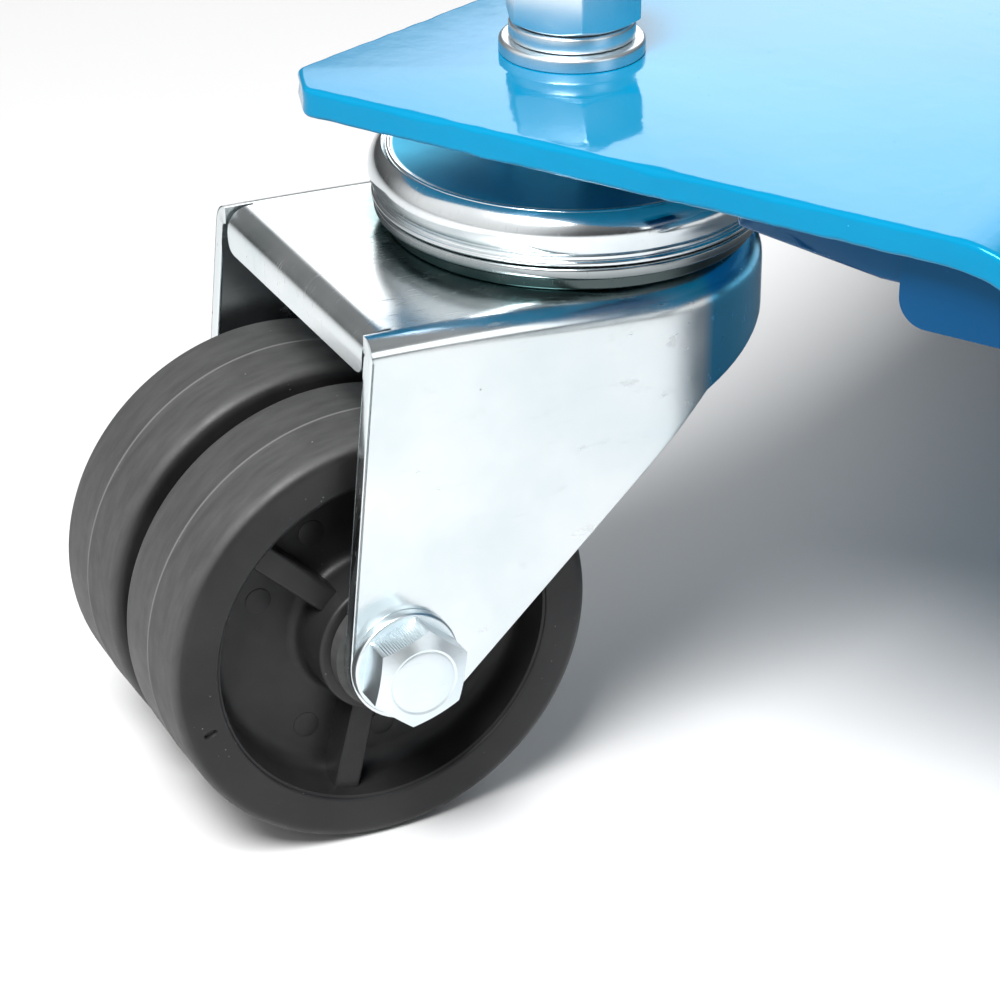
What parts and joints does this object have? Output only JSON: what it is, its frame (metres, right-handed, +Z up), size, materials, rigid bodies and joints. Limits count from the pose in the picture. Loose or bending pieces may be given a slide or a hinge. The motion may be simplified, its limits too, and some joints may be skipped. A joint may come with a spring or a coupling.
{
  "type": "wheel dolly",
  "caption": "Low wheel dolly: a painted steel deck with a formed tyre cradle on twin-wheel swivel castors, so that the car wheel standing in it can be rolled in any direction.",
  "frame": {"origin": "on the floor under the middle of the deck", "axes": "+X along the deck's length, +Y across it along the tyre cradle, +Z up"},
  "size_m": [0.471, 0.396, 0.147],
  "materials": {
    "deck_paint": "glossy blue powder coat",
    "zinc_plate": "bright zinc plate",
    "fastener_steel": "bright zinc plate",
    "bearing_steel": "polished ball steel",
    "wheel_plastic": "satin moulded polypropylene",
    "bush_plastic": "natural nylon"
  },
  "bodies": {
    "deck": {"deck_plate": "deck_paint", "front_side_rail": "deck_paint", "rear_side_rail": "deck_paint", "kingpins": "fastener_steel", "upper_race_cups": "zinc_plate", "clamp_nuts": "fastener_steel", "clamp_washers": "fastener_steel", "flat_washers": "fastener_steel", "spring_washers": "fastener_steel", "kingpin_nuts": "fastener_steel"},
    "castor_front_left": {"fork_front_left": "zinc_plate", "lower_race_front_left": "zinc_plate", "race_balls_front_left": "bearing_steel", "axle_bolt_front_left": "fastener_steel", "axle_nut_front_left": "fastener_steel", "axle_washers_front_left": "fastener_steel", "thrust_washers_front_left": "fastener_steel"},
    "near_wheel_front_left": {"near_wheel_front_left": "wheel_plastic", "near_bush_front_left": "bush_plastic"},
    "far_wheel_front_left": {"far_wheel_front_left": "wheel_plastic", "far_bush_front_left": "bush_plastic"},
    "castor_front_right": {"fork_front_right": "zinc_plate", "lower_race_front_right": "zinc_plate", "race_balls_front_right": "bearing_steel", "axle_bolt_front_right": "fastener_steel", "axle_nut_front_right": "fastener_steel", "axle_washers_front_right": "fastener_steel", "thrust_washers_front_right": "fastener_steel"},
    "near_wheel_front_right": {"near_wheel_front_right": "wheel_plastic", "near_bush_front_right": "bush_plastic"},
    "far_wheel_front_right": {"far_wheel_front_right": "wheel_plastic", "far_bush_front_right": "bush_plastic"},
    "castor_rear_left": {"fork_rear_left": "zinc_plate", "lower_race_rear_left": "zinc_plate", "race_balls_rear_left": "bearing_steel", "axle_bolt_rear_left": "fastener_steel", "axle_nut_rear_left": "fastener_steel", "axle_washers_rear_left": "fastener_steel", "thrust_washers_rear_left": "fastener_steel"},
    "near_wheel_rear_left": {"near_wheel_rear_left": "wheel_plastic", "near_bush_rear_left": "bush_plastic"},
    "far_wheel_rear_left": {"far_wheel_rear_left": "wheel_plastic", "far_bush_rear_left": "bush_plastic"},
    "castor_rear_right": {"fork_rear_right": "zinc_plate", "lower_race_rear_right": "zinc_plate", "race_balls_rear_right": "bearing_steel", "axle_bolt_rear_right": "fastener_steel", "axle_nut_rear_right": "fastener_steel", "axle_washers_rear_right": "fastener_steel", "thrust_washers_rear_right": "fastener_steel"},
    "near_wheel_rear_right": {"near_wheel_rear_right": "wheel_plastic", "near_bush_rear_right": "bush_plastic"},
    "far_wheel_rear_right": {"far_wheel_rear_right": "wheel_plastic", "far_bush_rear_right": "bush_plastic"}
  },
  "joints": [
    {"name": "swivel_front_left", "type": "hinge", "parent": "deck", "child": "castor_front_left", "pos_m": [-0.1695, -0.114, 0.095], "axis": [0, 0, 1], "continuous": true},
    {"name": "spin_near_front_left", "type": "hinge", "parent": "castor_front_left", "child": "near_wheel_front_left", "pos_m": [-0.19425, -0.1536, 0.0375], "axis": [-0.848, 0.5299, 0], "continuous": true},
    {"name": "spin_far_front_left", "type": "hinge", "parent": "castor_front_left", "child": "far_wheel_front_left", "pos_m": [-0.19425, -0.1536, 0.0375], "axis": [-0.848, 0.5299, 0], "continuous": true},
    {"name": "swivel_front_right", "type": "hinge", "parent": "deck", "child": "castor_front_right", "pos_m": [0.1695, -0.114, 0.095], "axis": [0, 0, 1], "continuous": true},
    {"name": "spin_near_front_right", "type": "hinge", "parent": "castor_front_right", "child": "near_wheel_front_right", "pos_m": [0.19425, -0.1536, 0.0375], "axis": [-0.848, -0.5299, 0], "continuous": true},
    {"name": "spin_far_front_right", "type": "hinge", "parent": "castor_front_right", "child": "far_wheel_front_right", "pos_m": [0.19425, -0.1536, 0.0375], "axis": [-0.848, -0.5299, 0], "continuous": true},
    {"name": "swivel_rear_left", "type": "hinge", "parent": "deck", "child": "castor_rear_left", "pos_m": [-0.1695, 0.114, 0.095], "axis": [0, 0, 1], "continuous": true},
    {"name": "spin_near_rear_left", "type": "hinge", "parent": "castor_rear_left", "child": "near_wheel_rear_left", "pos_m": [-0.19425, 0.1536, 0.0375], "axis": [0.848, 0.5299, 0], "continuous": true},
    {"name": "spin_far_rear_left", "type": "hinge", "parent": "castor_rear_left", "child": "far_wheel_rear_left", "pos_m": [-0.19425, 0.1536, 0.0375], "axis": [0.848, 0.5299, 0], "continuous": true},
    {"name": "swivel_rear_right", "type": "hinge", "parent": "deck", "child": "castor_rear_right", "pos_m": [0.1695, 0.114, 0.095], "axis": [0, 0, 1], "continuous": true},
    {"name": "spin_near_rear_right", "type": "hinge", "parent": "castor_rear_right", "child": "near_wheel_rear_right", "pos_m": [0.19425, 0.1536, 0.0375], "axis": [0.848, -0.5299, 0], "continuous": true},
    {"name": "spin_far_rear_right", "type": "hinge", "parent": "castor_rear_right", "child": "far_wheel_rear_right", "pos_m": [0.19425, 0.1536, 0.0375], "axis": [0.848, -0.5299, 0], "continuous": true}
  ]
}
